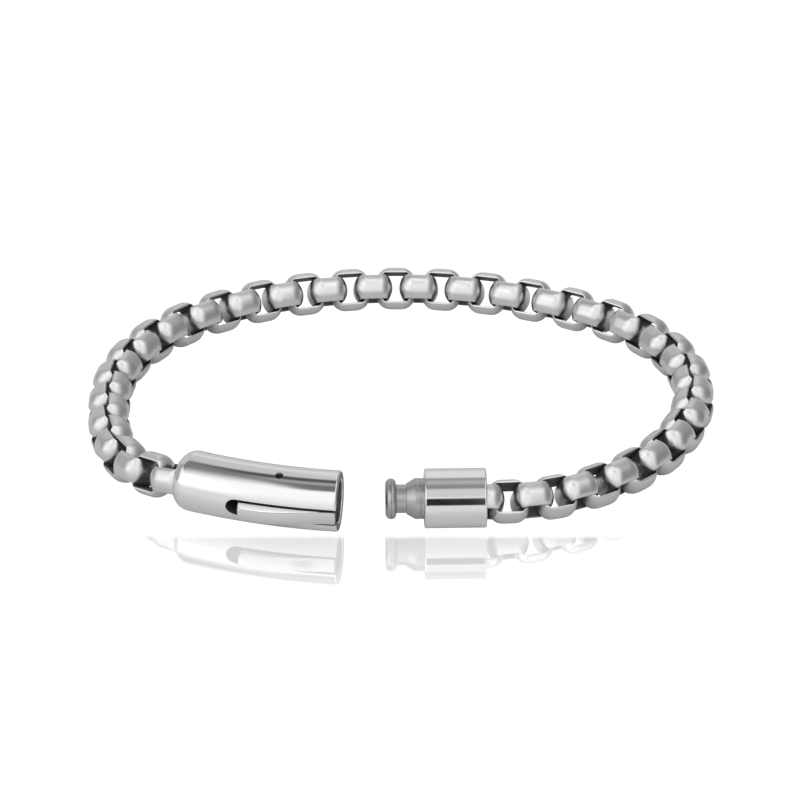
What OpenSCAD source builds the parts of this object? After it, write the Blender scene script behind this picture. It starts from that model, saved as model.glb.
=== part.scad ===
// Round box chain bracelet with a push-in plug and a lever socket, lying open on a table.
// Origin at the middle of the footprint, +Z up, the clasp in front towards -Y.

/* [Chain] */
// Diameter of the chain over two opposite faces
chain_d = 5; // [4.95:0.05:5.1]
// Length of a link over its domed ends
link_l = 4.63; // [4.61:0.01:4.65]
// Thickness of a link's strip at the crest of its dome
strip_t = 0.78; // [0.7:0.01:0.78]
// Width of a link's strip
strip_w = 2.86; // [2.7:0.02:2.9]
// Radius of a link's corners along the crest of its dome
crest_r = 1.55; // [1.3:0.05:1.7]
// Step along the chain from one link to the next
pitch = 2.75; // [2.73:0.01:2.76]
// Angle above the floor of the faces that look outwards and up, before the chain's own twist
face_rise = 52; // [48:1:56]

/* [Socket] */
// Diameter of the curved socket barrel
barrel_d = 6.9; // [6.7:0.1:7.1]
// Length of the barrel along its curve
barrel_l = 18.8; // [18:0.1:20]
// Radius that the barrel's axis is bent to
barrel_bend = 56; // [50:1:70]
// Diameter of the bore that takes the plug
bore_d = 4.8; // [4.75:0.05:4.9]
// Depth of the bore before it widens
bore_l = 1.9; // [1.7:0.1:2]
// Width of the slot that the lever lies in
slot_w = 2; // [1.9:0.05:2.2]
// Length of the slot from the mouth to its round end
slot_l = 12; // [11.8:0.1:12.6]

/* [Lever] */
// Width of the lever
lever_w = 1.68; // [1.5:0.02:1.7]
// Length of the lever's outer face
lever_l = 10.25; // [10:0.05:10.5]
// How far the lever's rear stands proud of the barrel
lever_rise = 1.07; // [0.7:0.01:1.1]
// Angle of the lever below the horizontal, seen along the barrel
lever_tilt = 7; // [0:1:15]
// Distance of the pin from the mouth
pin_back = 6.6; // [6.4:0.1:6.8]
// Diameter of the lever's pin
pin_d = 0.8; // [0.7:0.05:0.85]

/* [Plug] */
// Diameter of the polished collar
collar_d = 6.7; // [6.5:0.1:6.8]
// Length of the collar
collar_l = 6.95; // [6.5:0.05:7.2]
// Diameter of the shoulder that fits the bore
shoulder_d = 4.6; // [4.5:0.05:4.6]
// Diameter of the neck that the lever's tooth drops behind
neck_d = 3.2; // [3:0.05:3.25]
// Diameter of the rounded head
head_d = 4.55; // [4.4:0.05:4.55]

/* [Hidden] */

$fn = 64;
steel = "#c9cbce";
turned_steel = "#8f9194";

// The chain's way round from the plug to the socket: arcs that bend left and run on from each other
ARC_RADIUS = 0;
ARC_LINKS = 1;
ARC_CLOSER = 2;
ARC_TWIST = 3;
ARC_LIFT = 4;
arcs = [
    // radius, links, how much closer they sit, twist at its end, height at its end above the flat chain
    [22.6, 3, 0, 0, 0],
    [26.8, 12, 0, 0, 0],
    [22.3, 7, 0, 2, 0],
    [38.8, 3, 0, 2, 0],
    [42.8, 11, 0, 2, 0],
    [35.2, 5, 0, -1, 0],
    [24.6, 4, 0, -4, 0],
    [26.9, 4, 0, -7, 0],
    [53.2, 3, 0, -14, 0.05],
    [26, 2.5, 0, -21, 0.15],
    [12.6, 1.5, 0.06, -25, 0.3],
    [12.6, 2, 0.06, -32, 0.75]
];
start_twist = -3;
start_lift = 0.35;

// Place and heading of the link that is soldered into the collar
start = [9.1, -25.45, 1.6];
X = 0;
Y = 1;
HEADING = 2;
degrees_per_radian = 180 / PI;

function list_sum(list, upto) = upto == 0 ? 0 : list[upto - 1] + list_sum(list, upto - 1);
function arc_end(at, radius, run) =
    let (to = at[HEADING] + run / radius * degrees_per_radian)
    [
        at[X] + radius * (sin(to) - sin(at[HEADING])),
        at[Y] - radius * (cos(to) - cos(at[HEADING])),
        to
    ];
function link_at(i, at = start, k = 0) =
    let (links = arcs[k][ARC_LINKS], step = pitch - arcs[k][ARC_CLOSER])
    i <= links || k == len(arcs) - 1
        ? arc_end(at, arcs[k][ARC_RADIUS], i * step)
        : link_at(i - links, arc_end(at, arcs[k][ARC_RADIUS], links * step), k + 1);
function changing(i, column, from, k = 0) =
    let (links = arcs[k][ARC_LINKS])
    i <= links || k == len(arcs) - 1
        ? from + (arcs[k][column] - from) * i / links
        : changing(i - links, column, arcs[k][column], k + 1);
function ahead(at, run) = [at[X] + run * cos(at[HEADING]), at[Y] + run * sin(at[HEADING]), at[HEADING]];
function aside(at, left) = [at[X] - left * sin(at[HEADING]), at[Y] + left * cos(at[HEADING]), at[HEADING]];

last_link = list_sum([for (a = arcs) a[ARC_LINKS]], len(arcs));

// A link is a lens-shaped strip bent into a rounded rectangle
// The strip's section, as places across its width and heights above its inner face
ACROSS = 0;
HEIGHT = 1;
rim_h = 0.22;
flat_part = 0.27;
strip_section = [
    [-strip_w / 2, rim_h],
    [-strip_w * flat_part, strip_t],
    [strip_w * flat_part, strip_t],
    [strip_w / 2, rim_h],
    [strip_w * flat_part, 0],
    [-strip_w * flat_part, 0]
];
sides = len(strip_section);
corner_r = 0.2;
corner_steps = 3;
stations = 4 * (corner_steps + 1);
hole_l = link_l - 2 * strip_t;
hole_h = chain_d - 2 * strip_t;
chain_z = 2.48;

function link_station(k, across, height) =
    let (
        corner = floor(k / (corner_steps + 1)),
        angle = 90 * corner + 90 / corner_steps * (k % (corner_steps + 1)),
        side_x = corner == 0 || corner == 3 ? 1 : -1,
        side_y = corner < 2 ? 1 : -1,
        round = corner_r + (crest_r - corner_r) * height / strip_t
    )
    [
        side_x * (hole_l / 2 + height - round) + round * cos(angle),
        side_y * (hole_h / 2 + height - round) + round * sin(angle),
        across
    ];
function laid(p, face, slope, at, z) =
    let (
        left = p.y * cos(face) - p.z * sin(face),
        up = p.y * sin(face) + p.z * cos(face),
        forward = p.x * cos(slope) - up * sin(slope)
    )
    [
        at[X] + forward * cos(at[HEADING]) - left * sin(at[HEADING]),
        at[Y] + forward * sin(at[HEADING]) + left * cos(at[HEADING]),
        z + p.x * sin(slope) + up * cos(slope)
    ];
// Every other link is turned by a right angle
function link_face(i) = 180 - face_rise - changing(i, ARC_TWIST, start_twist) - 90 * (i % 2);
function link_z(i) = chain_z + changing(i, ARC_LIFT, start_lift);
function link_slope(i) = asin((link_z(i + 1) - link_z(i - 1)) / (2 * pitch));
function link_points(i) = [
    for (k = [0:1:stations - 1])
        for (s = strip_section)
            laid(link_station(k, s[ACROSS], s[HEIGHT]), link_face(i), link_slope(i), link_at(i), link_z(i))
];
function link_faces(first) = [
    for (k = [0:1:stations - 1])
        for (s = [0:1:sides - 1])
            let (
                next_k = (k + 1) % stations,
                next_s = (s + 1) % sides
            )
            [
                first + k * sides + s,
                first + k * sides + next_s,
                first + next_k * sides + next_s,
                first + next_k * sides + s
            ]
];

module chain() {
    color(steel)
        polyhedron(
            [for (i = [1:1:last_link - 1]) each link_points(i)],
            [for (i = [1:1:last_link - 1]) each link_faces((i - 1) * stations * sides)]
        );
}

module end_link(i) {
    polyhedron(link_points(i), link_faces(0));
}

// Frame of a piece that points along a heading: +X ahead, +Y to the left, +Z up
module facing(at, z) {
    translate([at[X], at[Y], z]) rotate([0, 0, at[HEADING]]) children();
}

// Frame of a bend to the left that starts at a place: the section is drawn round [radius, 0]
module on_bend(at, radius, z) {
    facing(at, z) translate([0, radius, 0]) rotate([0, 0, -90]) children();
}

function bend_angle(run, radius) = run / radius * degrees_per_radian;

// Section of a turned bar that starts at y = 0, with both its edges rounded
module bar_section(r, round, run) {
    square([r - round, run]);
    translate([0, round]) square([r, run - 2 * round]);
    for (y = [round, run - round])
        translate([r - round, y]) circle(r = round);
}

// Socket
barrel_z = barrel_d / 2;
barrel_gap = 0.87;
barrel_side = 0.33;
end_round = 1.7;
end_round_out = 0.06;
mouth_chamfer = 0.25;
cavity_d = 5.4;
cavity_l = 5.4;
slot_floor = -0.4;
slot_end_d = slot_w + 0.04;
pin_off = 0.8;
pin_hole_d = pin_d + 0.04;
cut = 1;

barrel_end = aside(ahead(link_at(last_link), barrel_gap), barrel_side);
mouth = arc_end(barrel_end, barrel_bend, barrel_l);

// Frame at a distance back from the mouth along the barrel's curve: +Z points out through the slot
module at_slot(back) {
    facing(arc_end(mouth, barrel_bend, -back), barrel_z) rotate([90 + lever_tilt, 0, 0]) children();
}

module barrel() {
    color(steel) union() {
        difference() {
            difference() {
                barrel_blank();
                socket_bore();
            }
            slot();
            at_slot(pin_back) translate([0, 0, pin_off])
                rotate([90, 0, 0]) cylinder(d = pin_hole_d, h = barrel_d + cut, center = true);
        }
        end_link(last_link);
    }
}

module barrel_blank() {
    difference() {
        on_bend(barrel_end, barrel_bend, barrel_z)
            rotate_extrude(angle = bend_angle(barrel_l, barrel_bend))
                translate([barrel_bend, 0]) circle(d = barrel_d);
        facing(barrel_end, barrel_z) rotate([0, 90, 0]) end_rounding();
        facing(mouth, barrel_z) rotate([0, -90, 0]) mouth_edge();
    }
}

// The bore that fits the plug, and the wider hollow behind it
module socket_bore() {
    facing(mouth, barrel_z) rotate([0, -90, 0]) rotate_extrude()
        polygon([
            [0, -cut],
            [bore_d / 2, -cut],
            [bore_d / 2, bore_l],
            [cavity_d / 2, bore_l],
            [cavity_d / 2, cavity_l],
            [0, cavity_l]
        ]);
}

// What is cut away to round the closed end
module end_rounding() {
    middle = barrel_d / 2 - end_round + end_round_out;
    rotate_extrude() difference() {
        translate([middle, -cut]) square([barrel_d, end_round + cut]);
        translate([middle, end_round]) circle(r = end_round);
    }
}

// What is cut away to break the mouth's outer edge
module mouth_edge() {
    r = barrel_d / 2;
    rotate_extrude()
        polygon([
            [r - mouth_chamfer, 0],
            [r - mouth_chamfer, -cut],
            [r + cut, -cut],
            [r + cut, mouth_chamfer + cut],
            [r, mouth_chamfer]
        ]);
}

module slot() {
    run = slot_l - slot_w / 2;
    on_bend(arc_end(mouth, barrel_bend, -run), barrel_bend, barrel_z)
        rotate_extrude(angle = bend_angle(run + cut, barrel_bend))
            translate([barrel_bend, 0]) rotate(-lever_tilt)
                translate([slot_floor, -slot_w / 2]) square([barrel_d, slot_w]);
    at_slot(run) translate([0, 0, slot_floor]) cylinder(d = slot_end_d, h = barrel_d);
}

// Lever
lever_front = 0.1;
lever_inner = 2.6;
lever_outer = 3.4;
lever_slant = 0.6;
lever_steps = 16;
rise_from = 0.3;
rise_run = 8;
tooth_from = 2;
tooth_l = 0.9;
tooth_inner = 1.8;
boss_r = 0.78;
lever_hole_d = pin_d + 0.1;

function eased(t) = t <= 0 ? 0 : t >= 1 ? 1 : t * t * (3 - 2 * t);
// Place in the frame at the pin of a point at a distance back from the mouth and out from the barrel's axis
function on_curve(back, out) =
    let (turn = bend_angle(pin_back - back, barrel_bend))
    [(barrel_bend + out) * sin(turn), (barrel_bend + out) * cos(turn) - barrel_bend];

// Side view of the lever: flush at the mouth, then rising to its rear, with a tooth and a boss inside
module lever_profile() {
    polygon([
        for (k = [0:1:lever_steps])
            let (back = lever_front + lever_l * k / lever_steps)
            on_curve(back, lever_outer + lever_rise * eased((back - rise_from) / rise_run)),
        for (k = [lever_steps:-1:0])
            on_curve(lever_front + (lever_l + lever_slant) * k / lever_steps, lever_inner)
    ]);
    polygon([
        on_curve(tooth_from, lever_outer),
        on_curve(tooth_from + tooth_l, lever_outer),
        on_curve(tooth_from + tooth_l, tooth_inner),
        on_curve(tooth_from, tooth_inner)
    ]);
    translate([-boss_r, pin_off]) square([2 * boss_r, lever_outer - pin_off]);
    translate([0, pin_off]) circle(r = boss_r);
}

module lever() {
    color(steel) at_slot(pin_back) rotate([90, 0, 0]) difference() {
        linear_extrude(lever_w, center = true) lever_profile();
        translate([0, pin_off, 0]) cylinder(d = lever_hole_d, h = lever_w + cut, center = true);
    }
}

// The pin ends well below the barrel's surface
pin_recess = 0.9;
pin_l = 2 * (sqrt(pow(barrel_d / 2, 2) - pin_off * pin_off) - pin_recess);

module lever_pin() {
    color(turned_steel) at_slot(pin_back) translate([0, 0, pin_off])
        rotate([90, 0, 0]) cylinder(d = pin_d, h = pin_l, center = true);
}

// Plug
collar_z = collar_d / 2;
collar_over = 0.3;
collar_round = 0.25;
dish_d = 5.7;
dish_l = 0.35;
stem_d = 2.4;
stem_l = 2.5;
stem_play = 0.04;
shoulder_l = 0.9;
cone_l = 1;
neck_l = 1.25;
head_l = 1.2;
head_round = 0.45;

collar_end = ahead(link_at(0), collar_over);
tongue_from = ahead(collar_end, -collar_l);

module collar() {
    color(steel) union() {
        difference() {
            facing(tongue_from, collar_z)
                rotate([0, 90, 0]) rotate_extrude() bar_section(collar_d / 2, collar_round, collar_l);
            facing(tongue_from, collar_z)
                rotate([0, 90, 0]) translate([0, 0, -cut])
                    cylinder(d = stem_d + stem_play, h = stem_l + stem_play + cut);
            facing(collar_end, collar_z)
                rotate([0, 90, 0]) translate([0, 0, -dish_l]) cylinder(d = dish_d, h = dish_l + cut);
        }
        end_link(0);
    }
}

module tongue() {
    color(turned_steel) facing(tongue_from, collar_z) rotate([0, -90, 0]) {
        translate([0, 0, -stem_l]) cylinder(d = stem_d, h = stem_l);
        cylinder(d = shoulder_d, h = shoulder_l);
        translate([0, 0, shoulder_l]) cylinder(d1 = shoulder_d, d2 = neck_d, h = cone_l);
        translate([0, 0, shoulder_l + cone_l]) cylinder(d = neck_d, h = neck_l);
        translate([0, 0, shoulder_l + cone_l + neck_l])
            rotate_extrude() bar_section(head_d / 2, head_round, head_l);
    }
}

chain();
barrel();
lever();
lever_pin();
collar();
tongue();
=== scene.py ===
import math

import bmesh
import bpy
from mathutils import Euler, Matrix, Vector


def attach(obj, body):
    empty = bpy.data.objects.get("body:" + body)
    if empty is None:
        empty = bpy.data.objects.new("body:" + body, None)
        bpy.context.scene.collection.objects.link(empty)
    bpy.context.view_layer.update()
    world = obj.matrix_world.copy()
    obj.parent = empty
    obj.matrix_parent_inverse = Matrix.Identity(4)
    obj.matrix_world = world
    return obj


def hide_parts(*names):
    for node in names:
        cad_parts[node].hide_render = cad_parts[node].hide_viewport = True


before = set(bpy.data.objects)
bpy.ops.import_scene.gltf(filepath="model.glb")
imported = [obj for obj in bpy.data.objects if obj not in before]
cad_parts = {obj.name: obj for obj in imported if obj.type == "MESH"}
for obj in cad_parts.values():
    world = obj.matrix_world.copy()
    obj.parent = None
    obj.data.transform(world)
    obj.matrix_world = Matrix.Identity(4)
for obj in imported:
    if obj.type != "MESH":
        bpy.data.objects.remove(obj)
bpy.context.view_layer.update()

# A round box chain bracelet of stainless steel, lying open on a table.
# The bracelet is worked out in millimetres and degrees, and made in metres in the frame of the solids.
# Textures, the table, the studio and the camera are in metres.
MM = 0.001
SCENE = bpy.context.scene


# Way of the chain, from the plug round to the socket

PITCH = 2.75
# height of the chain's middle where it lies flat on the table
CHAIN_Z = 2.48
# how steeply the even links stand; the odd ones are turned by a right angle
FACE_RISE = 52
# x, y and heading of the link in the collar, with its twist and lift
START = (9.1, -25.45, 1.6)
START_TWIST = -3
START_LIFT = 0.35
# each bend: its radius, links on it, how much closer they sit, twist and lift at its end
BENDS = [
    (22.6, 3, 0, 0, 0),
    (26.8, 12, 0, 0, 0),
    (22.3, 7, 0, 2, 0),
    (38.8, 3, 0, 2, 0),
    (42.8, 11, 0, 2, 0),
    (35.2, 5, 0, -1, 0),
    (24.6, 4, 0, -4, 0),
    (26.9, 4, 0, -7, 0),
    (53.2, 3, 0, -14, 0.05),
    (26, 2.5, 0, -21, 0.15),
    (12.6, 1.5, 0.06, -25, 0.3),
    (12.6, 2, 0.06, -32, 0.75),
]
LAST_LINK = int(sum(links for radius, links, closer, twist, lift in BENDS))


def arc_end(at, radius, run):
    """Where a bend to the left ends: its x, y and heading."""
    x, y, heading = at
    start = math.radians(heading)
    to = start + run / radius
    return (
        x + radius * (math.sin(to) - math.sin(start)),
        y - radius * (math.cos(to) - math.cos(start)),
        math.degrees(to),
    )


def ahead(at, run):
    """The place straight ahead of another."""
    heading = math.radians(at[2])
    return (at[0] + run * math.cos(heading), at[1] + run * math.sin(heading), at[2])


def aside(at, left):
    """The place to the left of another."""
    heading = math.radians(at[2])
    return (at[0] - left * math.sin(heading), at[1] + left * math.cos(heading), at[2])


def link_at(i):
    """Place, twist and lift of link i, counted from the collar."""
    at, twist, lift = START, START_TWIST, START_LIFT
    for k, (radius, links, closer, end_twist, end_lift) in enumerate(BENDS):
        step = PITCH - closer
        if i <= links or k == len(BENDS) - 1:
            share = i / links
            at = arc_end(at, radius, i * step)
            return at, twist + (end_twist - twist) * share, lift + (end_lift - lift) * share
        at = arc_end(at, radius, links * step)
        twist, lift = end_twist, end_lift
        i -= links


def link_frame(i):
    """Centre of link i, and its turn about its length, its slope and its heading, in radians."""
    (x, y, heading), twist, lift = link_at(i)
    climb = link_at(i + 1)[2] - link_at(i - 1)[2]
    slope = math.asin(climb / (2 * PITCH))
    face = math.radians(180 - FACE_RISE - twist - 90 * (i % 2))
    return (x, y, CHAIN_Z + lift), (face, -slope, math.radians(heading))


# Meshes

# points closer than this, in millimetres, become one
MERGE = 0.00001


def mesh_of(name, points, faces):
    mesh = bpy.data.meshes.new(name)
    mesh.from_pydata([Vector(p) for p in points], [], faces)
    mesh.validate()
    return mesh


def link_to_scene(data, name):
    obj = bpy.data.objects.new(name, data)
    SCENE.collection.objects.link(obj)
    return obj


def evaluated_mesh(obj):
    """A plain mesh of an object with its modifiers applied."""
    bpy.context.view_layer.update()
    return bpy.data.meshes.new_from_object(obj.evaluated_get(bpy.context.evaluated_depsgraph_get()))


def grid_faces(rows, columns, close_rows=True, close_columns=True):
    """Quads over rows of points, each row with the same number of points."""
    faces = []
    for r in range(rows if close_rows else rows - 1):
        for c in range(columns if close_columns else columns - 1):
            r2, c2 = (r + 1) % rows, (c + 1) % columns
            faces.append((r * columns + c, r * columns + c2, r2 * columns + c2, r2 * columns + c))
    return faces


def face_outwards(mesh, merge=MERGE):
    """Merges double points and turns every face outwards."""
    made = bmesh.new()
    made.from_mesh(mesh)
    bmesh.ops.remove_doubles(made, verts=made.verts, dist=merge)
    bmesh.ops.recalc_face_normals(made, faces=made.faces)
    made.to_mesh(mesh)
    made.free()
    mesh.update()


def mark(mesh, name, values, domain="POINT"):
    """Marks where a piece gets painted shade or painted light, with its own colour and roughness, with
    1, and where it doesn't, with 0.
    """
    where = mesh.attributes.new(name, "FLOAT", domain)
    where.data.foreach_set("value", values)


def smooth_with_edges(mesh, angle):
    """Smooth shading, apart from edges that are sharper than an angle."""
    mesh.shade_smooth()
    mesh.set_sharp_from_angle(angle=math.radians(angle))


# Node helpers

# places of A, B and the result among the sockets of a Mix node
MIX_SOCKETS = {"FLOAT": (2, 3, 0), "RGBA": (6, 7, 2)}
WHITE = (1, 1, 1, 1)


def feed(tree, socket, value):
    """Links an output to a socket, or sets the socket to a value."""
    if isinstance(value, bpy.types.NodeSocket):
        tree.links.new(value, socket)
    else:
        socket.default_value = value


def math_node(tree, operation, *values):
    node = tree.nodes.new("ShaderNodeMath")
    node.operation = operation
    for socket, value in zip(node.inputs, values):
        feed(tree, socket, value)
    return node.outputs[0]


def noise(tree, vector, scale, detail, rough):
    node = tree.nodes.new("ShaderNodeTexNoise")
    given = {"Vector": vector, "Scale": scale, "Detail": detail, "Roughness": rough}
    for name, value in given.items():
        feed(tree, node.inputs[name], value)
    return node.outputs["Fac"]


def ramp(tree, value, ends, low, high, kind="SMOOTHSTEP"):
    """Goes from low to high while a value goes from one end to the other."""
    fade = tree.nodes.new("ShaderNodeMapRange")
    fade.interpolation_type = kind
    feed(tree, fade.inputs["Value"], value)
    limits = {"From Min": ends[0], "From Max": ends[1], "To Min": low, "To Max": high}
    for name, limit in limits.items():
        fade.inputs[name].default_value = limit
    return fade.outputs[0]


def mixed(tree, kind, share, first, second):
    """Goes from one number or colour to another with a share from 0 to 1."""
    mix = tree.nodes.new("ShaderNodeMix")
    mix.data_type = kind
    a, b, result = MIX_SOCKETS[kind]
    feed(tree, mix.inputs[0], share)
    feed(tree, mix.inputs[a], first)
    feed(tree, mix.inputs[b], second)
    return mix.outputs[result]


def mixed_shader(tree, share, first, second):
    mix = tree.nodes.new("ShaderNodeMixShader")
    for socket, output in zip(mix.inputs, (share, first, second)):
        tree.links.new(output, socket)
    return mix.outputs[0]


def axes(tree, vector):
    """The x, y and z of a vector."""
    apart = tree.nodes.new("ShaderNodeSeparateXYZ")
    tree.links.new(vector, apart.inputs[0])
    return apart.outputs


def node_group(name, kind, inputs, outputs):
    """An empty node group with named sockets, and what its inputs give and its outputs take."""
    tree = bpy.data.node_groups.new(name, kind)
    for way, sockets in (("INPUT", inputs), ("OUTPUT", outputs)):
        for label, sort in sockets.items():
            tree.interface.new_socket(label, in_out=way, socket_type="NodeSocket" + sort)
    return tree, tree.nodes.new("NodeGroupInput").outputs, tree.nodes.new("NodeGroupOutput").inputs


def use_group(tree, group, values):
    """Places a shader node group and gives its inputs their values."""
    node = tree.nodes.new("ShaderNodeGroup")
    node.node_tree = group
    for label, value in values.items():
        feed(tree, node.inputs[label], value)
    return node.outputs


def new_material(name):
    """A material, its node tree, and the place on the piece that it reads."""
    material = bpy.data.materials.new(name)
    material.use_nodes = True
    tree = material.node_tree
    return material, tree, tree.nodes.new("ShaderNodeTexCoord").outputs["Object"]


# Link: a half-round strip bent into a rounded rectangle

LINK_L = 4.63
CHAIN_D = 5
STRIP_T = 0.79
STRIP_W = 2.86
# height at which the dome of the strip meets its edge
RIM_TOP = 0.22
# radius of the link's corners at the inner face and at the crest
CORNER_R = 0.2
CREST_R = 1.55
# below 1, the corners get their radius soon above the inner face
CORNER_EASE = 0.7
# how far the long and short sides of a link bulge at its crest
CROWN = 0.06
# how far short of the strip's edge its dome ends
DOME_STOP = 0.02
# the strip's small round edge: how far in from the side, and height above the inner face
STRIP_EDGE = [(0.004, 0.205), (0, 0.18), (0, 0.06), (0.012, 0.035), (0.05, 0.015), (0.4, 0)]
# below this height the strip's inner face is painted darker, as shade inside the link, and rougher
INNER_SHADE_TOP = 0.03
DOME_STEPS = 12
CORNER_STEPS = 8
# where the straight sides have points, as shares of their length
SIDE_SHARES = (0.1, 0.3, 0.5, 0.7, 0.9)
LINK_CREASE = 60


def strip_section():
    """Half-round strip: places across its width and heights above its inner face."""
    half = STRIP_W / 2
    sag = STRIP_T - RIM_TOP
    dome_r = (half * half + sag * sag) / (2 * sag)
    dome_end = half - DOME_STOP
    section = []
    for k in range(DOME_STEPS + 1):
        across = -dome_end + 2 * dome_end * k / DOME_STEPS
        section.append((across, STRIP_T - dome_r + math.sqrt(dome_r * dome_r - across * across)))
    edge = [(half - inwards, height) for inwards, height in STRIP_EDGE]
    section += edge
    section += [(-across, height) for across, height in reversed(edge)]
    return section


def link_outline(height):
    """Outline of the link at a height above the strip's inner face, rounder towards the crest."""
    corner_r = CORNER_R + (CREST_R - CORNER_R) * (height / STRIP_T) ** CORNER_EASE
    crown = CROWN * height / STRIP_T
    along = LINK_L / 2 - STRIP_T + height - corner_r - crown
    up = CHAIN_D / 2 - STRIP_T + height - corner_r - crown
    outline = []
    corners = [(1, 1), (-1, 1), (-1, -1), (1, -1)]
    for k, (sx, sy) in enumerate(corners):
        for step in range(CORNER_STEPS + 1):
            angle = math.radians(90 * k + 90 * step / CORNER_STEPS)
            x = sx * along + corner_r * math.cos(angle)
            y = sy * up + corner_r * math.sin(angle)
            outline.append((x, y))
        next_sx, next_sy = corners[(k + 1) % len(corners)]
        run_x, run_y = (next_sx - sx) * along, (next_sy - sy) * up
        outline += [(x + run_x * share, y + run_y * share) for share in SIDE_SHARES]
    crowned = []
    for x, y in outline:
        out_x = crown * (1 - (y / (up + corner_r)) ** 2)
        out_y = crown * (1 - (x / (along + corner_r)) ** 2)
        crowned.append((x + math.copysign(out_x, x), y + math.copysign(out_y, y)))
    return crowned


def link_mesh(name):
    """A link round the origin, in metres, its length along X and the strip's width along Z."""
    section = strip_section()
    outlines = [link_outline(height) for across, height in section]
    stations = len(outlines[0])
    points = []
    for station in range(stations):
        for (across, height), outline in zip(section, outlines):
            points.append(Vector((*outline[station], across)) * MM)
    mesh = mesh_of(name, points, grid_faces(stations, len(section)))
    # painted shade: the strip's inner face, inside the link, is marked to be darkened
    mark(mesh, "inside", [float(height < INNER_SHADE_TOP) for across, height in section] * stations)
    face_outwards(mesh, MERGE * MM)
    smooth_with_edges(mesh, LINK_CREASE)
    return mesh


def placed_link(i):
    """The mesh of a soldered link, in its place."""
    centre, turn = link_frame(i)
    mesh = link_mesh("end link")
    mesh.transform(Matrix.Translation(Vector(centre) * MM) @ Euler(turn).to_matrix().to_4x4())
    return mesh


# Chain, laid with Geometry Nodes

# how far a loose link may turn out of line, in radians
PLAY = 0.004
PLAY_SEED = 7


def chain_tree():
    """Lays a link on each point of the run, turned as the point says and a little out of line."""
    tree, given, result = node_group(
        "lay the links",
        "GeometryNodeTree",
        {"Run": "Geometry", "Link": "Object", "Play": "Float", "Seed": "Int", "Finish": "Material"},
        {"Chain": "Geometry"},
    )
    node, link = tree.nodes.new, tree.links.new
    shape = node("GeometryNodeObjectInfo")
    turn = node("GeometryNodeInputNamedAttribute")
    turn.data_type = "FLOAT_VECTOR"
    turn.inputs["Name"].default_value = "turn"
    sway = node("FunctionNodeRandomValue")
    sway.data_type = "FLOAT_VECTOR"
    turned = node("ShaderNodeVectorMath")
    turned.operation = "ADD"
    to_rotation = node("FunctionNodeEulerToRotation")
    lay = node("GeometryNodeInstanceOnPoints")
    real = node("GeometryNodeRealizeInstances")
    finish = node("GeometryNodeSetMaterial")

    link(math_node(tree, "MULTIPLY", given["Play"], -1), sway.inputs["Min"])
    link(given["Play"], sway.inputs["Max"])
    link(given["Seed"], sway.inputs["Seed"])
    link(turn.outputs["Attribute"], turned.inputs[0])
    link(sway.outputs["Value"], turned.inputs[1])
    link(turned.outputs[0], to_rotation.inputs[0])
    link(given["Link"], shape.inputs["Object"])
    link(given["Run"], lay.inputs["Points"])
    link(shape.outputs["Geometry"], lay.inputs["Instance"])
    link(to_rotation.outputs[0], lay.inputs["Rotation"])
    link(lay.outputs[0], real.inputs[0])
    link(real.outputs[0], finish.inputs["Geometry"])
    link(given["Finish"], finish.inputs["Material"])
    link(finish.outputs[0], result["Chain"])
    return tree


def set_input(modifier, name, value):
    """Sets an input of a Geometry Nodes modifier by its socket's identifier."""
    for item in modifier.node_group.interface.items_tree:
        if item.item_type == "SOCKET" and item.in_out == "INPUT" and item.name == name:
            modifier[item.identifier] = value


def lay_chain(material):
    """The loose links as one plain mesh, each with its own small turn."""
    shape = link_to_scene(link_mesh("link"), "link_shape")
    frames = [link_frame(i) for i in range(1, LAST_LINK)]
    run = mesh_of("chain run", [Vector(centre) * MM for centre, turn in frames], [])
    turns = run.attributes.new("turn", "FLOAT_VECTOR", "POINT")
    turns.data.foreach_set("vector", [angle for centre, turn in frames for angle in turn])
    chain = link_to_scene(run, "round_box_chain")
    lay = chain.modifiers.new("lay", "NODES")
    lay.node_group = chain_tree()
    set_input(lay, "Link", shape)
    set_input(lay, "Play", PLAY)
    set_input(lay, "Seed", PLAY_SEED)
    set_input(lay, "Finish", material)
    mesh = evaluated_mesh(chain)
    chain.modifiers.clear()
    chain.data = mesh
    mesh.name = "round box chain"
    bpy.data.objects.remove(shape)
    return chain


# Turned, cut and bent meshes of the clasp

TURNS = 128
ROD_TURNS = 48
EDGE_STEPS = 5
# how far beyond a rounded edge the next ring is, in edge radii, so that the flat part stays flat
SUPPORT = 0.15
# longest step along a piece that is bent afterwards
BEND_STEP = 0.6
# edges sharper than this are softened, with a round profile
SOFTEN_ANGLE = 50
ROUND_PROFILE = 0.5
# how far a cutter goes on past what it cuts
BEYOND = 1


def turned_mesh(name, profile, turns=TURNS):
    """Revolves points (place along X, radius) round the X axis; the first and last lie on it."""
    points = [(profile[0][0], 0, 0)]
    middle = profile[1:-1]
    for x, r in middle:
        for k in range(turns):
            angle = 2 * math.pi * k / turns
            points.append((x, r * math.cos(angle), r * math.sin(angle)))
    points.append((profile[-1][0], 0, 0))
    faces = []
    for k in range(turns):
        k2 = (k + 1) % turns
        faces.append((0, 1 + k, 1 + k2))
        last = 1 + (len(middle) - 1) * turns
        faces.append((len(points) - 1, last + k2, last + k))
        for row in range(len(middle) - 1):
            ring = 1 + row * turns
            faces.append((ring + k, ring + turns + k, ring + turns + k2, ring + k2))
    mesh = mesh_of(name, points, faces)
    face_outwards(mesh)
    return mesh


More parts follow.
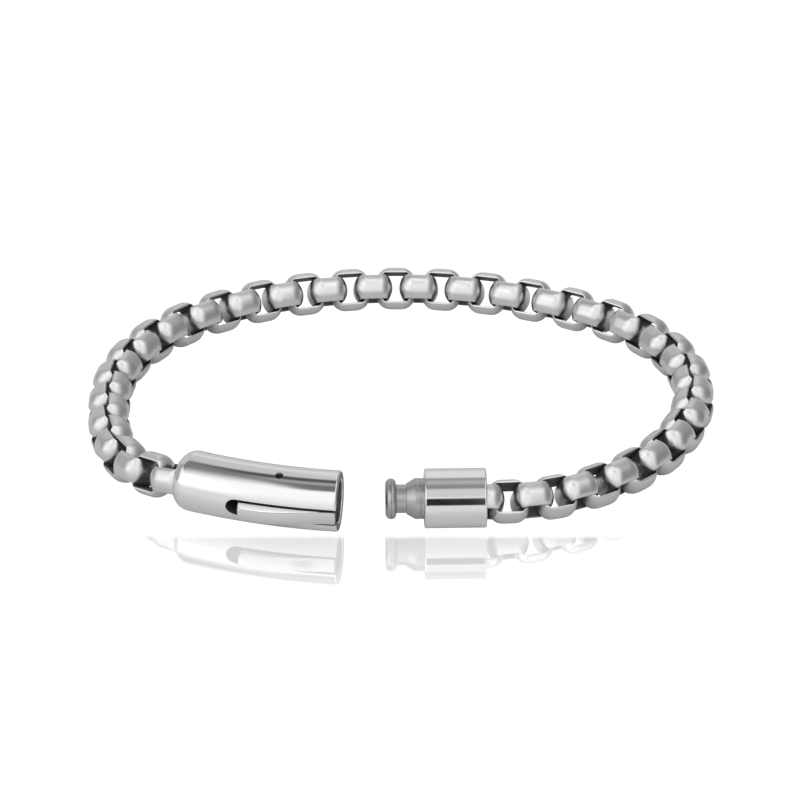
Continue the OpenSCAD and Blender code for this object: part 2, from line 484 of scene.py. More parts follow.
def rounded(corner_from, corner, corner_to, radius):
    """Points of a round edge at a corner of a turned profile."""
    corner = Vector(corner)
    back = (Vector(corner_from) - corner).normalized()
    on = (Vector(corner_to) - corner).normalized()
    half = back.angle(on) / 2
    cut_back = radius / math.tan(half)
    centre = corner + (back + on).normalized() * (radius / math.sin(half))
    first = corner + back * cut_back - centre
    last = corner + on * cut_back - centre
    turn = first.angle_signed(last)
    points = [tuple(corner + back * (cut_back + radius * SUPPORT))]
    for k in range(EDGE_STEPS + 1):
        points.append(tuple(centre + Matrix.Rotation(-turn * k / EDGE_STEPS, 2) @ first))
    points.append(tuple(corner + on * (cut_back + radius * SUPPORT)))
    return points


def profile_with_edges(corners):
    """Profile from (x, radius, edge radius) corners, with each edge rounded."""
    profile = []
    for k, (x, r, edge) in enumerate(corners):
        if edge:
            profile += rounded(corners[k - 1][:2], (x, r), corners[k + 1][:2], edge)
        else:
            profile.append((x, r))
    return profile


def dense(profile):
    """The same profile with long runs divided, so that a bend stays smooth."""
    points = [profile[0]]
    for a, b in zip(profile, profile[1:]):
        parts = max(1, math.ceil(abs(b[0] - a[0]) / BEND_STEP))
        for k in range(1, parts + 1):
            points.append((a[0] + (b[0] - a[0]) * k / parts, a[1] + (b[1] - a[1]) * k / parts))
    return points


def cut(mesh, cutter):
    """What is left of a mesh when another is cut out of it; both are used up."""
    body = link_to_scene(mesh, "blank")
    tool = link_to_scene(cutter, "cutter")
    step = body.modifiers.new("cut", "BOOLEAN")
    step.operation = "DIFFERENCE"
    step.solver = "EXACT"
    step.object = tool
    made = evaluated_mesh(body)
    bpy.data.objects.remove(body)
    bpy.data.objects.remove(tool)
    return made


def prism_mesh(outline, lo, hi):
    """Prism of an outline in x and y, from lo to hi in z."""
    n = len(outline)
    points = [(x, y, z) for z in (lo, hi) for x, y in outline]
    faces = [tuple(range(n)), tuple(range(n, 2 * n))]
    faces += [(k, (k + 1) % n, n + (k + 1) % n, n + k) for k in range(n)]
    mesh = mesh_of("prism", points, faces)
    face_outwards(mesh)
    return mesh


def rod_mesh(profile, turn, place):
    """A thin turned mesh, turned and put in a place."""
    mesh = turned_mesh("rod", profile, ROD_TURNS)
    mesh.transform(Matrix.Translation(Vector(place)) @ turn.to_4x4())
    return mesh


def soften_edges(mesh, width, steps):
    """Rounds the sharp edges."""
    made = bmesh.new()
    made.from_mesh(mesh)
    limit = math.radians(SOFTEN_ANGLE)
    sharp = [edge for edge in made.edges if edge.is_manifold and edge.calc_face_angle() > limit]
    bmesh.ops.bevel(
        made, geom=sharp, offset=width, segments=steps, profile=ROUND_PROFILE, affect="EDGES"
    )
    made.to_mesh(mesh)
    made.free()
    mesh.update()


def slice_at(mesh, level):
    """Adds edges all round a mesh at a height, and leaves its shape as it is."""
    made = bmesh.new()
    made.from_mesh(mesh)
    whole = [*made.verts, *made.edges, *made.faces]
    bmesh.ops.bisect_plane(made, geom=whole, plane_co=(0, 0, level), plane_no=(0, 0, 1))
    made.to_mesh(mesh)
    made.free()
    mesh.update()


def joined(name, meshes):
    """Several meshes as one."""
    made = bmesh.new()
    for mesh in meshes:
        made.from_mesh(mesh)
    mesh = bpy.data.meshes.new(name)
    made.to_mesh(mesh)
    made.free()
    return mesh


def bend(mesh, start, radius, z):
    """Bends a straight mesh to the left round an arc that starts at a place, and makes it metres."""
    for v in mesh.vertices:
        x, y, heading = arc_end(start, radius, v.co.x)
        heading = math.radians(heading)
        v.co = (
            (x - v.co.y * math.sin(heading)) * MM,
            (y + v.co.y * math.cos(heading)) * MM,
            (z + v.co.z) * MM,
        )
    mesh.update()


def set_at(mesh, start, z):
    """Puts a straight mesh at a place and heading, and makes it metres."""
    turn = Matrix.Rotation(math.radians(start[2]), 4, "Z")
    mesh.transform(Matrix.Scale(MM, 4) @ Matrix.Translation((start[0], start[1], z)) @ turn)


# Barrel: the bent socket, measured from its closed end to its mouth

BARREL_D = 6.9
BARREL_L = 18.8
BARREL_BEND = 56
BARREL_Z = BARREL_D / 2
BARREL_CREASE = 30
# how far the closed end lies ahead of the last link, and to the left of it
BARREL_GAP = 0.87
BARREL_SIDE = 0.33
# bore and the wider cavity behind it, with how far from the mouth each of them ends
BORE_D = 4.8
BORE_L = 1.9
CAVITY_D = 5.4
CAVITY_L = 5.4
# entry of the last link in the rounded closed end, and how far outside it the rounding starts
ENTRY_D = 5.3
ENTRY_L = 0.7
END_ROUND = 1.7
END_FROM = 0.05
END_STEPS = 10
# radii of the edges: round the mouth, the bore and the cavity, inside, and at the entry
MOUTH_EDGE = 0.22
BORE_EDGE = 0.14
CAVITY_EDGE = 0.2
INNER_EDGE = 0.06
ENTRY_FLOOR_EDGE = 0.05
ENTRY_RIM_EDGE = 0.03
# slot for the lever, with the height of its floor out from the barrel's axis
SLOT_W = 2
SLOT_L = 12
SLOT_FLOOR = -0.4
SLOT_STEPS = 24
# broken edge of the slot: how far outside it, and height above the barrel's skin
SLOT_EDGE = [(0, -0.06), (0.018, -0.018), (0.07, 0.006)]
# hole for the pin: place back from the mouth and out from the axis, play and countersink
PIN_BACK = 6.6
PIN_OFF = 0.8
PIN_D = 0.8
HOLE_PLAY = 0.02
HOLE_SINK = 0.05
# what lies deeper than this under the skin is painted darker, as shade inside the barrel, and rougher
SKIN = 0.04
# so are the mouth's flat ring, taken as this thin, and what is deeper than this on its round edge
MOUTH_FACE = 0.04
MOUTH_ROUND = 0.2
# the bore's edge stays polished, without the painted shade; it is found with this tolerance
NEAR = 0.01
# the slot looks to the front, turned down by this angle
LEVER_TILT = 7
# turn that takes +Z to the way out through the slot, with the barrel along +X
TO_SLOT = Matrix.Rotation(math.radians(90 + LEVER_TILT), 3, "X")
# turn that lays a rod across the slot
ACROSS_SLOT = TO_SLOT @ Matrix.Rotation(math.radians(90), 3, "Z")

BARREL_END = aside(ahead(link_at(LAST_LINK)[0], BARREL_GAP), BARREL_SIDE)
MOUTH = arc_end(BARREL_END, BARREL_BEND, BARREL_L)
# middle of the rounding's radius, and how far from the closed end the entry breaks through it
END_MIDDLE = BARREL_D / 2 - END_ROUND
ENTRY_RIM = END_ROUND - math.sqrt(END_ROUND**2 - (ENTRY_D / 2 - END_MIDDLE) ** 2)


def slot_cutter():
    """What is cut out for the lever: a slot with a round end, its edge on the barrel's skin broken."""
    r = BARREL_D / 2
    end_x = BARREL_L - SLOT_L + SLOT_W / 2
    # each ring: how far outside the slot, and its height above the skin or else above the axis
    rings = [(0, None, SLOT_FLOOR)]
    rings += [(wider, above_skin, None) for wider, above_skin in SLOT_EDGE]
    rings.append((SLOT_EDGE[-1][0], None, BARREL_D))
    points = []
    for wider, above_skin, fixed in rings:
        half = SLOT_W / 2 + wider
        outline = [(BARREL_L + BEYOND, -half), (BARREL_L + BEYOND, half)]
        for k in range(SLOT_STEPS + 1):
            angle = math.pi / 2 + math.pi * k / SLOT_STEPS
            outline.append((end_x + half * math.cos(angle), half * math.sin(angle)))
        for x, across in outline:
            height = fixed if above_skin is None else math.sqrt(r * r - across * across) + above_skin
            points.append((x, across, height))
    columns = len(points) // len(rings)
    faces = grid_faces(len(rings), columns, close_rows=False)
    faces += [tuple(range(columns)), tuple(range(len(points) - columns, len(points)))]
    mesh = mesh_of("slot", points, faces)
    face_outwards(mesh)
    mesh.transform(TO_SLOT.to_4x4())
    return mesh


def pin_hole_cutter():
    """The hole for the pin, right through the barrel, a little wider at both ends."""
    r = BARREL_D / 2
    hole_r = PIN_D / 2 + HOLE_PLAY
    wide_r = hole_r + HOLE_SINK
    reach = math.sqrt(r * r - PIN_OFF * PIN_OFF)
    half = [(r + BEYOND, 0), (r + BEYOND, wide_r), (reach, wide_r), (reach - HOLE_SINK, hole_r)]
    profile = [(-x, out) for x, out in half] + half[::-1]
    place = TO_SLOT @ Vector((0, 0, PIN_OFF))
    place.x = BARREL_L - PIN_BACK
    return rod_mesh(profile, ACROSS_SLOT, place)


def end_rounding():
    """The round of the closed end, from the link's entry to the barrel's full width, as corners."""
    first = math.asin((ENTRY_D / 2 + END_FROM - END_MIDDLE) / END_ROUND)
    corners = []
    for k in range(END_STEPS + 1):
        angle = first + (math.pi / 2 - first) * k / END_STEPS
        x = END_ROUND * (1 - math.cos(angle))
        corners.append((x, END_MIDDLE + END_ROUND * math.sin(angle), 0))
    return corners


def barrel_skin(x):
    """How far from the axis the polished steel starts, at a place along the barrel; nearer the axis it
    is painted darker as shade inside.
    """
    if x < END_ROUND:
        return END_MIDDLE + math.sqrt(max(END_ROUND**2 - (END_ROUND - x) ** 2, 0))
    if x > BARREL_L - MOUTH_FACE:
        return BARREL_D
    return BARREL_D / 2 - (MOUTH_ROUND if x > BARREL_L - MOUTH_EDGE else 0)


def barrel_mesh():
    """The socket: turned, slotted and drilled, and then bent."""
    bore_end, cavity_end = BARREL_L - BORE_L, BARREL_L - CAVITY_L
    corners = [
        (ENTRY_L, 0, 0),
        (ENTRY_L, ENTRY_D / 2, ENTRY_FLOOR_EDGE),
        (ENTRY_RIM, ENTRY_D / 2, ENTRY_RIM_EDGE),
        *end_rounding(),
        (BARREL_L, BARREL_D / 2, MOUTH_EDGE),
        (BARREL_L, BORE_D / 2, BORE_EDGE),
        (bore_end, BORE_D / 2, INNER_EDGE),
        (bore_end, CAVITY_D / 2, INNER_EDGE),
        (cavity_end, CAVITY_D / 2, CAVITY_EDGE),
        (cavity_end, 0, 0),
    ]
    mesh = turned_mesh("barrel", dense(profile_with_edges(corners)))
    mesh = cut(mesh, slot_cutter())
    mesh = cut(mesh, pin_hole_cutter())
    # painted shade: what lies under the skin, the bore, cavity, slot and hole walls and the mouth's
    # flat ring, is marked to be darkened
    in_shade = []
    for v in mesh.vertices:
        out = math.hypot(v.co.y, v.co.z)
        at_mouth = v.co.x > BARREL_L - BORE_EDGE - NEAR
        bore_edge = at_mouth and 0 < out - BORE_D / 2 + NEAR < BORE_EDGE
        in_shade.append(float(out < barrel_skin(v.co.x) - SKIN and not bore_edge))
    mark(mesh, "inside", in_shade)
    bend(mesh, BARREL_END, BARREL_BEND, BARREL_Z)
    smooth_with_edges(mesh, BARREL_CREASE)
    return mesh


# Lever and its pin: lengths run back from the mouth, heights out from the barrel's axis

LEVER_W = 1.6
LEVER_L = 10.25
LEVER_CREASE = 40
# how far down the lever lies in its slot, and how far behind the mouth
LEVER_LOW = 0.05
LEVER_FRONT = 0.1
# how much longer its inner face is than its outer one
LEVER_SLANT = 0.6
# the outer face rises above the barrel's skin by this much, from here on, and over this run
LEVER_RISE = 1.07
RISE_FROM = 0.3
RISE_RUN = 8
# heights of its inner face, and of the line below which it is painted darker, as shade in the slot,
# and rougher
LEVER_INNER = 2.6
LEVER_LEVEL = 3.32
# radii of its rear corners, seen from outside
LOWER_ROUND = 0.6
UPPER_ROUND = 0.12
LEVER_ROWS = 40
LEVER_COLUMNS = 16
# widths and steps of the softened edges
LEVER_EDGE = 0.18
LEVER_EDGE_STEPS = 5
TOOTH_EDGE = 0.06
BOSS_EDGE = 0.04
SMALL_EDGE_STEPS = 2
# tooth and boss: how far in from the lever's sides, and how far up into it they start
INSET = 0.1
ROOT = 0.2
TOOTH_FROM = 2
TOOTH_L = 0.9
TOOTH_INNER = 1.8
BOSS_R = 0.78
BOSS_STEPS = 20
# a face that looks up more than this, above that line, is the satin upper side: rougher, and painted
# lighter as if lit from above
UPWARDS = 0.97
# how deep the ends of the pin lie under the barrel's skin
PIN_RECESS = 0.9
PIN_EDGE = 0.06


def eased(t):
    """From 0 to 1 with a soft start and end."""
    t = min(max(t, 0), 1)
    return t * t * (3 - 2 * t)


def corner_loss(share, radius):
    """How much shorter a rounded corner is, at a share of its radius."""
    share = max(share, 0)
    return radius * (1 - math.sqrt(max(1 - share * share, 0)))


def lever_blank():
    """The lever without its tooth and boss: flush at the mouth, then rising to its slanted rear."""
    r = BARREL_D / 2
    half = LEVER_W / 2
    top, bottom = [], []
    for row in range(LEVER_ROWS + 1):
        share = row / LEVER_ROWS
        for column in range(LEVER_COLUMNS + 1):
            across = -half * math.cos(math.pi * column / LEVER_COLUMNS)
            shorter = corner_loss(-across / half, LOWER_ROUND)
            shorter += corner_loss((across - half + UPPER_ROUND) / UPPER_ROUND, UPPER_ROUND)
            back = LEVER_FRONT + (LEVER_L - shorter) * share
            under = LEVER_FRONT + (LEVER_L + LEVER_SLANT - shorter) * share
            skin = math.sqrt(r * r - across * across)
            height = skin + LEVER_RISE * eased((back - RISE_FROM) / RISE_RUN)
            top.append((BARREL_L - back, across - LEVER_LOW, height))
            bottom.append((BARREL_L - under, across - LEVER_LOW, LEVER_INNER))
    columns = LEVER_COLUMNS + 1
    count = len(top)
    faces = grid_faces(LEVER_ROWS + 1, columns, False, False)
    faces += [tuple(count + v for v in reversed(face)) for face in faces]
    rim = []
    for row in range(LEVER_ROWS):
        rim += [(row * columns + side, (row + 1) * columns + side) for side in (0, LEVER_COLUMNS)]
    for column in range(LEVER_COLUMNS):
        rim += [(end * columns + column, end * columns + column + 1) for end in (0, LEVER_ROWS)]
    faces += [(a, b, count + b, count + a) for a, b in rim]
    mesh = mesh_of("lever", top + bottom, faces)
    face_outwards(mesh)
    soften_edges(mesh, LEVER_EDGE, LEVER_EDGE_STEPS)
    slice_at(mesh, LEVER_LEVEL)
    return mesh


def lever_side_part(outline, edge):
    """A part under the lever, from its outline in x and height, as seen from the side."""
    reach = LEVER_W / 2 - INSET
    mesh = prism_mesh(outline, -reach, reach)
    mesh.transform(Matrix.Rotation(math.radians(90), 4, "X"))
    soften_edges(mesh, edge, SMALL_EDGE_STEPS)
    return mesh


def tooth_outline():
    """The tooth that drops behind the plug's head."""
    back, front = BARREL_L - TOOTH_FROM - TOOTH_L, BARREL_L - TOOTH_FROM
    top = LEVER_INNER + ROOT
    return [(back, TOOTH_INNER), (front, TOOTH_INNER), (front, top), (back, top)]


def boss_outline():
    """The boss that the pin passes through."""
    pin_x = BARREL_L - PIN_BACK
    outline = [(pin_x + BOSS_R, LEVER_INNER + ROOT), (pin_x - BOSS_R, LEVER_INNER + ROOT)]
    for k in range(BOSS_STEPS + 1):
        angle = math.pi + math.pi * k / BOSS_STEPS
        outline.append((pin_x + BOSS_R * math.cos(angle), PIN_OFF + BOSS_R * math.sin(angle)))
    return outline


def lever_mesh():
    """The spring lever with its tooth and boss, its painted shade in the slot and its satin upper side
    with painted light marked, bent as the barrel is.
    """
    tooth = lever_side_part(tooth_outline(), TOOTH_EDGE)
    boss = lever_side_part(boss_outline(), BOSS_EDGE)
    mesh = joined("lever", [lever_blank(), tooth, boss])
    # painted shade below the line, in the slot, and painted light on the upward side above it
    in_shade = [face.center.z < LEVER_LEVEL for face in mesh.polygons]
    lit_upper = [face.normal.y > UPWARDS and not low for face, low in zip(mesh.polygons, in_shade)]
    mark(mesh, "inside", [float(low) for low in in_shade], "FACE")
    mark(mesh, "upper_side_light", [float(high) for high in lit_upper], "FACE")
    mesh.transform(TO_SLOT.to_4x4())
    bend(mesh, BARREL_END, BARREL_BEND, BARREL_Z)
    smooth_with_edges(mesh, LEVER_CREASE)
    return mesh


def pin_mesh():
    """The pin that the lever turns on, across the slot."""
    r = BARREL_D / 2
    reach = math.sqrt(r * r - PIN_OFF * PIN_OFF) - PIN_RECESS
    profile = profile_with_edges([
        (-reach, 0, 0),
        (-reach, PIN_D / 2, PIN_EDGE),
        (reach, PIN_D / 2, PIN_EDGE),
        (reach, 0, 0),
    ])
    mesh = rod_mesh(profile, ACROSS_SLOT, TO_SLOT @ Vector((0, 0, PIN_OFF)))
    set_at(mesh, arc_end(MOUTH, BARREL_BEND, -PIN_BACK), BARREL_Z)
    smooth_with_edges(mesh, LEVER_CREASE)
    return mesh


# Plug: the collar, measured from its face towards the chain, and the tongue that stands out of it

COLLAR_D = 6.7
COLLAR_L = 6.95
COLLAR_Z = COLLAR_D / 2
PLUG_CREASE = 30
# how far the collar's end lies ahead of the first link
COLLAR_OVER = 0.3
# radii of the collar's outer edges, at its face and at its end
FACE_EDGE = 0.16
END_EDGE = 0.2
# the dish at its end that the first link is soldered in, and its rim and floor edges
DISH_R = 2.85
DISH_L = 0.35
DISH_EDGE = 0.08
DISH_FLOOR_EDGE = 0.05
# shallow ring turned in its face: depths and radii
FACE_RING = [(0, 2.25), (0.03, 2.4), (0, 2.5)]
FINE_EDGE = 0.02
# lengths of the tongue's parts, from the collar outwards
SHOULDER_L = 0.9
CONE_L = 1
NECK_L = 1.25
HEAD_L = 1.2
SHOULDER_R = 2.3
NECK_R = 1.6
HEAD_R = 2.275
# radii of its edges: head in front and behind, neck, both edges of the small step, and shoulder
HEAD_ROUND = 0.6
HEAD_BACK = 0.5
NECK_EDGE = 0.1
CONE_FOOT_EDGE = 0.06
CONE_EDGE = 0.04
SHOULDER_EDGE = 0.1
# small step at the cone's thin end: where it starts and ends, from the head, and its radius
CONE_STEP = (1.13, 1.15)
CONE_R = 1.72
# how far the cone ends before the shoulder
CONE_SHORT = 0.12
# groove round the shoulder: distances from the collar and radii
GROOVE = [(0.5, SHOULDER_R), (0.47, 2.25), (0.37, 2.25), (0.34, SHOULDER_R)]
# how far the tongue goes into the collar
PRESSED_IN = 0.02

COLLAR_END = ahead(link_at(0)[0], COLLAR_OVER)
COLLAR_FACE = ahead(COLLAR_END, -COLLAR_L)


def plug_mesh(name, corners):
    """A turned mesh of the plug, in its place."""
    mesh = turned_mesh(name, profile_with_edges(corners))
    set_at(mesh, COLLAR_FACE, COLLAR_Z)
    smooth_with_edges(mesh, PLUG_CREASE)
    return mesh


def collar_mesh():
    """The collar, with a shallow ring in its face and a dish at its end."""
    return plug_mesh("collar", [
        (0, 0, 0),
        *[(depth, r, FINE_EDGE) for depth, r in FACE_RING],
        (0, COLLAR_D / 2, FACE_EDGE),
        (COLLAR_L, COLLAR_D / 2, END_EDGE),
        (COLLAR_L, DISH_R, DISH_EDGE),
        (COLLAR_L - DISH_L, DISH_R, DISH_FLOOR_EDGE),
        (COLLAR_L - DISH_L, 0, 0),
    ])


def tongue_mesh():
    """The turned tongue, from its rounded head to the collar."""
    head = SHOULDER_L + CONE_L + NECK_L
    tip = head + HEAD_L
    step_from, step_to = CONE_STEP
    return plug_mesh("tongue", [
        (-tip, 0, 0),
        (-tip, HEAD_R, HEAD_ROUND),
        (-head, HEAD_R, HEAD_BACK),
        (-head, NECK_R, NECK_EDGE),
        (-head + step_from, NECK_R, CONE_FOOT_EDGE),
        (-head + step_to, CONE_R, CONE_EDGE),
        (-SHOULDER_L - CONE_SHORT, SHOULDER_R, SHOULDER_EDGE),
        *[(-out, r, FINE_EDGE) for out, r in GROOVE],
        (0, SHOULDER_R, 0),
        (PRESSED_IN, 0, 0),
    ])


# Finishes

# colours of the steel: tumbled, polished, of the spring, turned, painted shade for the insides, and
# painted light for the lever's upper side
TUMBLED = (0.635, 0.63, 0.633)
POLISHED = (0.735, 0.73, 0.733)
SPRING = (0.614, 0.61, 0.612)
TURNED = (0.423, 0.42, 0.422)
PAINTED_SHADE = (0.191, 0.19, 0.191)
PAINTED_LIGHT = (0.954, 0.95, 0.953)
# painted shade and painted light on a piece, each also rougher: the mark, colour and how much rougher
INNER_SHADE = ("inside", PAINTED_SHADE, 0.4)
UPPER_SATIN_AND_LIGHT = ("upper_side_light", PAINTED_LIGHT, 0.6)
# detail and roughness of the noises
CLOUD_NOISE = (4, 0.55)
GRAIN_NOISE = (2, 0.6)
RING_NOISE = (3, 0.6)
# the part of a noise's range that it mostly uses
NOISE_RANGE = (0.3, 0.7)
# depth of the fine marks, in metres
MARK_DEPTH = 0.00002


def handling_group():
    """Marks of handling and of the polishing cloth: soft clouds and a fine grain."""
    tree, given, result = node_group(
        "handling marks",
        "ShaderNodeTree",
        {"Place": "Vector", "Cloud size": "Float", "Grain size": "Float"},
        {"Cloud": "Float", "Grain": "Float"},
    )
    feed(tree, result["Cloud"], noise(tree, given["Place"], given["Cloud size"], *CLOUD_NOISE))
    feed(tree, result["Grain"], noise(tree, given["Place"], given["Grain size"], *GRAIN_NOISE))
    return tree


def lathe_group():
    """Fine rings left by the turning tool, one behind the other along the X axis."""
    tree, given, result = node_group(
        "turning rings",
        "ShaderNodeTree",
        {"Place": "Vector", "Rings": "Float"},
        {"Height": "Float"},
    )
    along = axes(tree, given["Place"])[0]
    together = tree.nodes.new("ShaderNodeCombineXYZ")
    feed(tree, together.inputs[0], math_node(tree, "MULTIPLY", along, given["Rings"]))
    feed(tree, result["Height"], noise(tree, together.outputs[0], 1, *RING_NOISE))
    return tree


HANDLING = handling_group()
LATHE = lathe_group()


def steel(name, colour, tone, roughness, spread, clouds, grain, bump, rings=None, others=()):
    """Steel whose colour varies by a tone and whose roughness varies by a spread, with a fine bump.

    Clouds, grain and rings are about how many marks there are on a metre. Others are the painted
    shade and painted light, each with more roughness, that it has where its piece is marked.
    """
    material, tree, place = new_material(name)
    shader = tree.nodes["Principled BSDF"]
    shader.inputs["Metallic"].default_value = 1
    marks = use_group(tree, HANDLING, {"Place": place, "Cloud size": clouds, "Grain size": grain})
    height = marks["Grain"]
    if rings:
        height = use_group(tree, LATHE, {"Place": place, "Rings": rings})["Height"]
    rough = ramp(tree, marks["Cloud"], NOISE_RANGE, roughness - spread, roughness + spread, "LINEAR")
    darker = (*[part - tone for part in colour], 1)
    lighter = (*[part + tone for part in colour], 1)
    shade = mixed(tree, "RGBA", marks["Cloud"], darker, lighter)
    # painted shade and painted light where the piece is marked: another colour, and more roughness
    for mark_name, other_colour, rougher in others:
        where = tree.nodes.new("ShaderNodeAttribute")
        where.attribute_name = mark_name
        marked = where.outputs["Fac"]
        shade = mixed(tree, "RGBA", marked, shade, (*other_colour, 1))
        rough = math_node(tree, "MULTIPLY_ADD", marked, rougher, rough)
    fine = tree.nodes.new("ShaderNodeBump")
    fine.inputs["Strength"].default_value = bump
    fine.inputs["Distance"].default_value = MARK_DEPTH
    feed(tree, fine.inputs["Height"], height)
    feed(tree, shader.inputs["Base Color"], shade)
    feed(tree, shader.inputs["Roughness"], rough)
    feed(tree, shader.inputs["Normal"], fine.outputs["Normal"])
    return material


chain_steel = steel(
    "tumbled steel", TUMBLED, tone=0.02, roughness=0.31, spread=0.04,
    clouds=300, grain=5000, bump=0.05, others=[INNER_SHADE],
)
mirror_steel = steel(
    "polished steel", POLISHED, tone=0.015, roughness=0.11, spread=0.02,
    clouds=250, grain=8000, bump=0.03, others=[INNER_SHADE],
)
lever_steel = steel(
    "polished spring steel", SPRING, tone=0.015, roughness=0.12, spread=0.02,
    clouds=250, grain=8000, bump=0.03, others=[INNER_SHADE, UPPER_SATIN_AND_LIGHT],
)
lathe_steel = steel(
    "turned steel", TURNED, tone=0.03, roughness=0.3, spread=0.04,
    clouds=500, grain=6000, bump=1, rings=7000,
)


# Pieces

def declare(obj, body, node):
    """Says what a piece moves with and which solid it stands for, and hides that solid's imported
    mesh.
    """
    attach(obj, body)
    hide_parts(node)
    return obj


def piece(name, mesh, material, body, node):
    """A mesh as a piece of the bracelet, with its material."""
    mesh.name = name.replace("_", " ")
    mesh.materials.append(material)
    return declare(link_to_scene(mesh, name), body, node)


chain = declare(lay_chain(chain_steel), "bracelet", "chain")
piece("clasp_barrel", barrel_mesh(), mirror_steel, "bracelet", "barrel")
last_link = placed_link(LAST_LINK)
barrel_link = piece("barrel_link", last_link, chain_steel, "bracelet", "barrel")
piece("plug_collar", collar_mesh(), mirror_steel, "bracelet", "collar")
first_link = placed_link(0)
collar_link = piece("collar_link", first_link, chain_steel, "bracelet", "collar")
piece("plug_tongue", tongue_mesh(), lathe_steel, "bracelet", "tongue")
piece("hinge_pin", pin_mesh(), lathe_steel, "bracelet", "lever_pin")
lever = piece("spring_lever", lever_mesh(), lever_steel, "lever", "lever")


# Table

TABLE_HALF = 3
# how far below the bracelet the table top lies
TABLE_DROP = 0.00002
TABLE_WHITE = (0.92, 0.92, 0.92, 1)
# how bright the camera sees it
TABLE_SEEN = 1.1
# how much more light it gives in front of the clasp, and from where to where that grows
TABLE_GLOW = 0.22
GLOW_ENDS = (-0.0275, -0.04)
# how much the line where it starts slants, as the clasp lies
CLASP_SLANT = 0.14
# the faint reflection in front of the clasp: strength, roughness, and where it starts, fades and ends
SHINE = 0.42
SHINE_ROUGHNESS = 0.04
SHINE_STARTS = (-0.0277, -0.0292)
SHINE_FADES = (-0.033, -0.05)
SHINE_SIDES = (0.036, 0.044)


def table():
    """A white table top, seen as pure white, with a faint reflection in front of the clasp."""
    half = TABLE_HALF
    corners = [(-half, -half, 0), (half, -half, 0), (half, half, 0), (-half, half, 0)]
    mesh = mesh_of("floor", corners, [(0, 1, 2, 3)])
    obj = link_to_scene(mesh, "floor")
    obj.location.z = -TABLE_DROP
    material, tree, place = new_material("white table")
    x, y = axes(tree, place)[:2]
    lit = tree.nodes["Principled BSDF"]
    lit.inputs["Base Color"].default_value = TABLE_WHITE
    lit.inputs["Specular IOR Level"].default_value = 0
    lit.inputs["Emission Color"].default_value = WHITE
    along_clasp = math_node(tree, "MULTIPLY_ADD", x, CLASP_SLANT, y)
    feed(tree, lit.inputs["Emission Strength"], ramp(tree, along_clasp, GLOW_ENDS, 0, TABLE_GLOW))
    white = tree.nodes.new("ShaderNodeEmission")
    white.inputs["Strength"].default_value = TABLE_SEEN
    shine = tree.nodes.new("ShaderNodeBsdfGlossy")
    shine.inputs["Color"].default_value = WHITE
    shine.inputs["Roughness"].default_value = SHINE_ROUGHNESS
    patch = math_node(
        tree, "MULTIPLY", ramp(tree, y, SHINE_STARTS, 0, SHINE), ramp(tree, y, SHINE_FADES, 1, 0)
    )
    beside = math_node(tree, "ABSOLUTE", x)
    patch = math_node(tree, "MULTIPLY", patch, ramp(tree, beside, SHINE_SIDES, 1, 0))
    seen = mixed_shader(tree, patch, white.outputs[0], shine.outputs[0])
    by_camera = tree.nodes.new("ShaderNodeLightPath").outputs["Is Camera Ray"]
    both = mixed_shader(tree, by_camera, lit.outputs[0], seen)
    feed(tree, tree.nodes["Material Output"].inputs["Surface"], both)
    mesh.materials.append(material)


# Studio: soft-edged cards in the world's light

# brightness where there is no card
BACK_WALL = 0.48
# each card: from and to side (degrees right of the front), how soft that is, from and to rise
# (degrees up from the front and over the top to the back), how soft that is, and brightness
CARDS = [
    # dark wall on the right
    (45, 180, 40, -200, 300, 1, 0.32),
    # wide window in front and above, to the left
    (-64, 34, 34, -60, 100, 36, 1.04),
    (-64, 34, 34, 16, 100, 40, 1.3),
    (-84, -36, 16, 14, 60, 28, 1.6),
    # light wall low behind
    (-18, 16, 12, 113, 230, 8, 0.72),
    (-8, 8, 4, 145, 159, 4, 0.9),
    # bar over the window, as the barrel shows it
    (-42, -14, 8, 76, 150, 36, 0.27),
    (-42, -14, 8, 116, 230, 8, 0.72),
    (-17, -2, 6, 63, 112, 9, 0.2),
    (-15, -2, 5, 86, 98, 6, 0.46),
    (-15, -2, 5, 99, 112, 5, 0.1),
    # the same over the collar, with the stand in front of it
    (-2, 8, 4, 32, 64, 8, 0.8),
    (-2, 8, 4, 63, 114, 8, 0.42),
    (-2, 8, 4, 85, 100, 8, 0.56),
    (-2, 8, 4, 68, 79, 6, 0.32),
    (-2, 8, 4, 114, 150, 10, 0.95),
    (-2, 8, 4, -1, 28, 7, 0),
]
CARD_SIZES = ("From side", "To side", "Side softness", "From rise", "To rise", "Rise softness")
# where a card's edge starts and ends, in softnesses from its line
CARD_EDGE = (-0.5, 0.5)
# each soft box: name, side and rise of its middle, width and height in degrees, brightness
CHAIN_BOXES = [
    ("box_above_left", -18, 82, 36, 42, 0.87),
    ("box_above", 6, 84, 13, 46, 0.6),
    ("box_ahead", 3, 14, 12, 28, 1),
    ("box_ahead_above", 3, 47, 12, 34, 0.4),
]
LEVER_BOXES = [("box_over_lever", -8, 98, 30, 14, 3.5)]
# how far the soft boxes are from the bracelet
BOX_FAR = 0.6


def card_group():
    """A soft-edged card: how much of it there is in a direction."""
    sockets = ("Side", "Rise", *CARD_SIZES)
    tree, given, result = node_group(
        "studio card", "ShaderNodeTree", dict.fromkeys(sockets, "Float"), {"Card": "Float"}
    )
    card = 1
    for value, low, high in (("Side", "From side", "To side"), ("Rise", "From rise", "To rise")):
        above = math_node(tree, "SUBTRACT", given[value], given[low])
        below = math_node(tree, "SUBTRACT", given[high], given[value])
        for inwards in (above, below):
            soft = math_node(tree, "DIVIDE", inwards, given[value + " softness"])
            card = math_node(tree, "MULTIPLY", card, ramp(tree, soft, CARD_EDGE, 0, 1))
    feed(tree, result["Card"], card)
    return tree


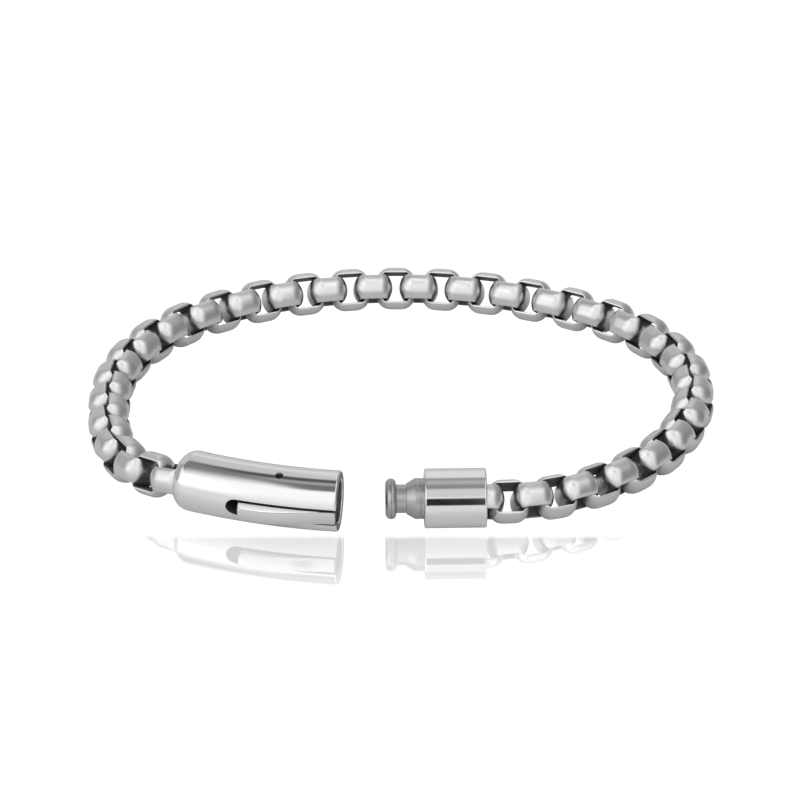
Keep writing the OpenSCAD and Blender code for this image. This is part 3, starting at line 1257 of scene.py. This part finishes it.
def studio():
    """The world's light, with each card laid over the ones before it."""
    world = bpy.data.worlds.new("studio")
    SCENE.world = world
    world.use_nodes = True
    tree = world.node_tree
    x, y, z = axes(tree, tree.nodes.new("ShaderNodeTexCoord").outputs["Generated"])
    front = math_node(tree, "MULTIPLY", y, -1)
    rise = math_node(tree, "DEGREES", math_node(tree, "ARCTAN2", z, front))
    side = math_node(tree, "DEGREES", math_node(tree, "ARCSINE", x))
    cards = card_group()
    light = BACK_WALL
    for *sizes, bright in CARDS:
        given = {"Side": side, "Rise": rise, **dict(zip(CARD_SIZES, sizes))}
        light = mixed(tree, "FLOAT", use_group(tree, cards, given)["Card"], light, bright)
    background = tree.nodes["Background"]
    background.inputs["Color"].default_value = WHITE
    feed(tree, background.inputs["Strength"], light)


def soft_boxes(boxes, receivers):
    """Soft boxes that light some pieces alone: the clasp keeps the dark bars that it reflects."""
    lit = bpy.data.collections.new("in the soft boxes")
    for receiver in receivers:
        lit.objects.link(receiver)
    for name, side, rise, wide, high, bright in boxes:
        across, up = math.radians(side), math.radians(rise)
        level = math.cos(across)
        way = Vector((math.sin(across), -level * math.cos(up), level * math.sin(up)))
        light = bpy.data.lights.new(name, "AREA")
        light.shape = "RECTANGLE"
        light.size = 2 * BOX_FAR * math.tan(math.radians(wide / 2))
        light.size_y = 2 * BOX_FAR * math.tan(math.radians(high / 2))
        light.energy = bright * math.pi * light.size * light.size_y
        obj = link_to_scene(light, name)
        obj.location = way * BOX_FAR
        obj.rotation_euler = way.to_track_quat("Z", "Y").to_euler()
        obj.visible_camera = False
        obj.light_linking.receiver_collection = lit


# Camera, as high above the table as the photo's

CAMERA_RISE = 28.25
CAMERA_FAR = 0.72
CAMERA_END = 10
AIM = (-0.00025, 0.00385, 0)
# width of the film and focal length, in millimetres
FILM = 36
FOCAL_LENGTH = 278.64


def camera():
    """The photo's view, straight from the front."""
    data = bpy.data.cameras.new("camera")
    data.sensor_width = FILM
    data.lens = FOCAL_LENGTH
    data.clip_end = CAMERA_END
    obj = link_to_scene(data, "camera")
    rise = math.radians(CAMERA_RISE)
    obj.location = Vector(AIM) + CAMERA_FAR * Vector((0, -math.cos(rise), math.sin(rise)))
    obj.rotation_euler = (math.radians(90) - rise, 0, 0)
    SCENE.camera = obj


table()
studio()
soft_boxes(CHAIN_BOXES, [chain, barrel_link, collar_link])
soft_boxes(LEVER_BOXES, [lever])
camera()
SCENE.view_settings.view_transform = "Standard"
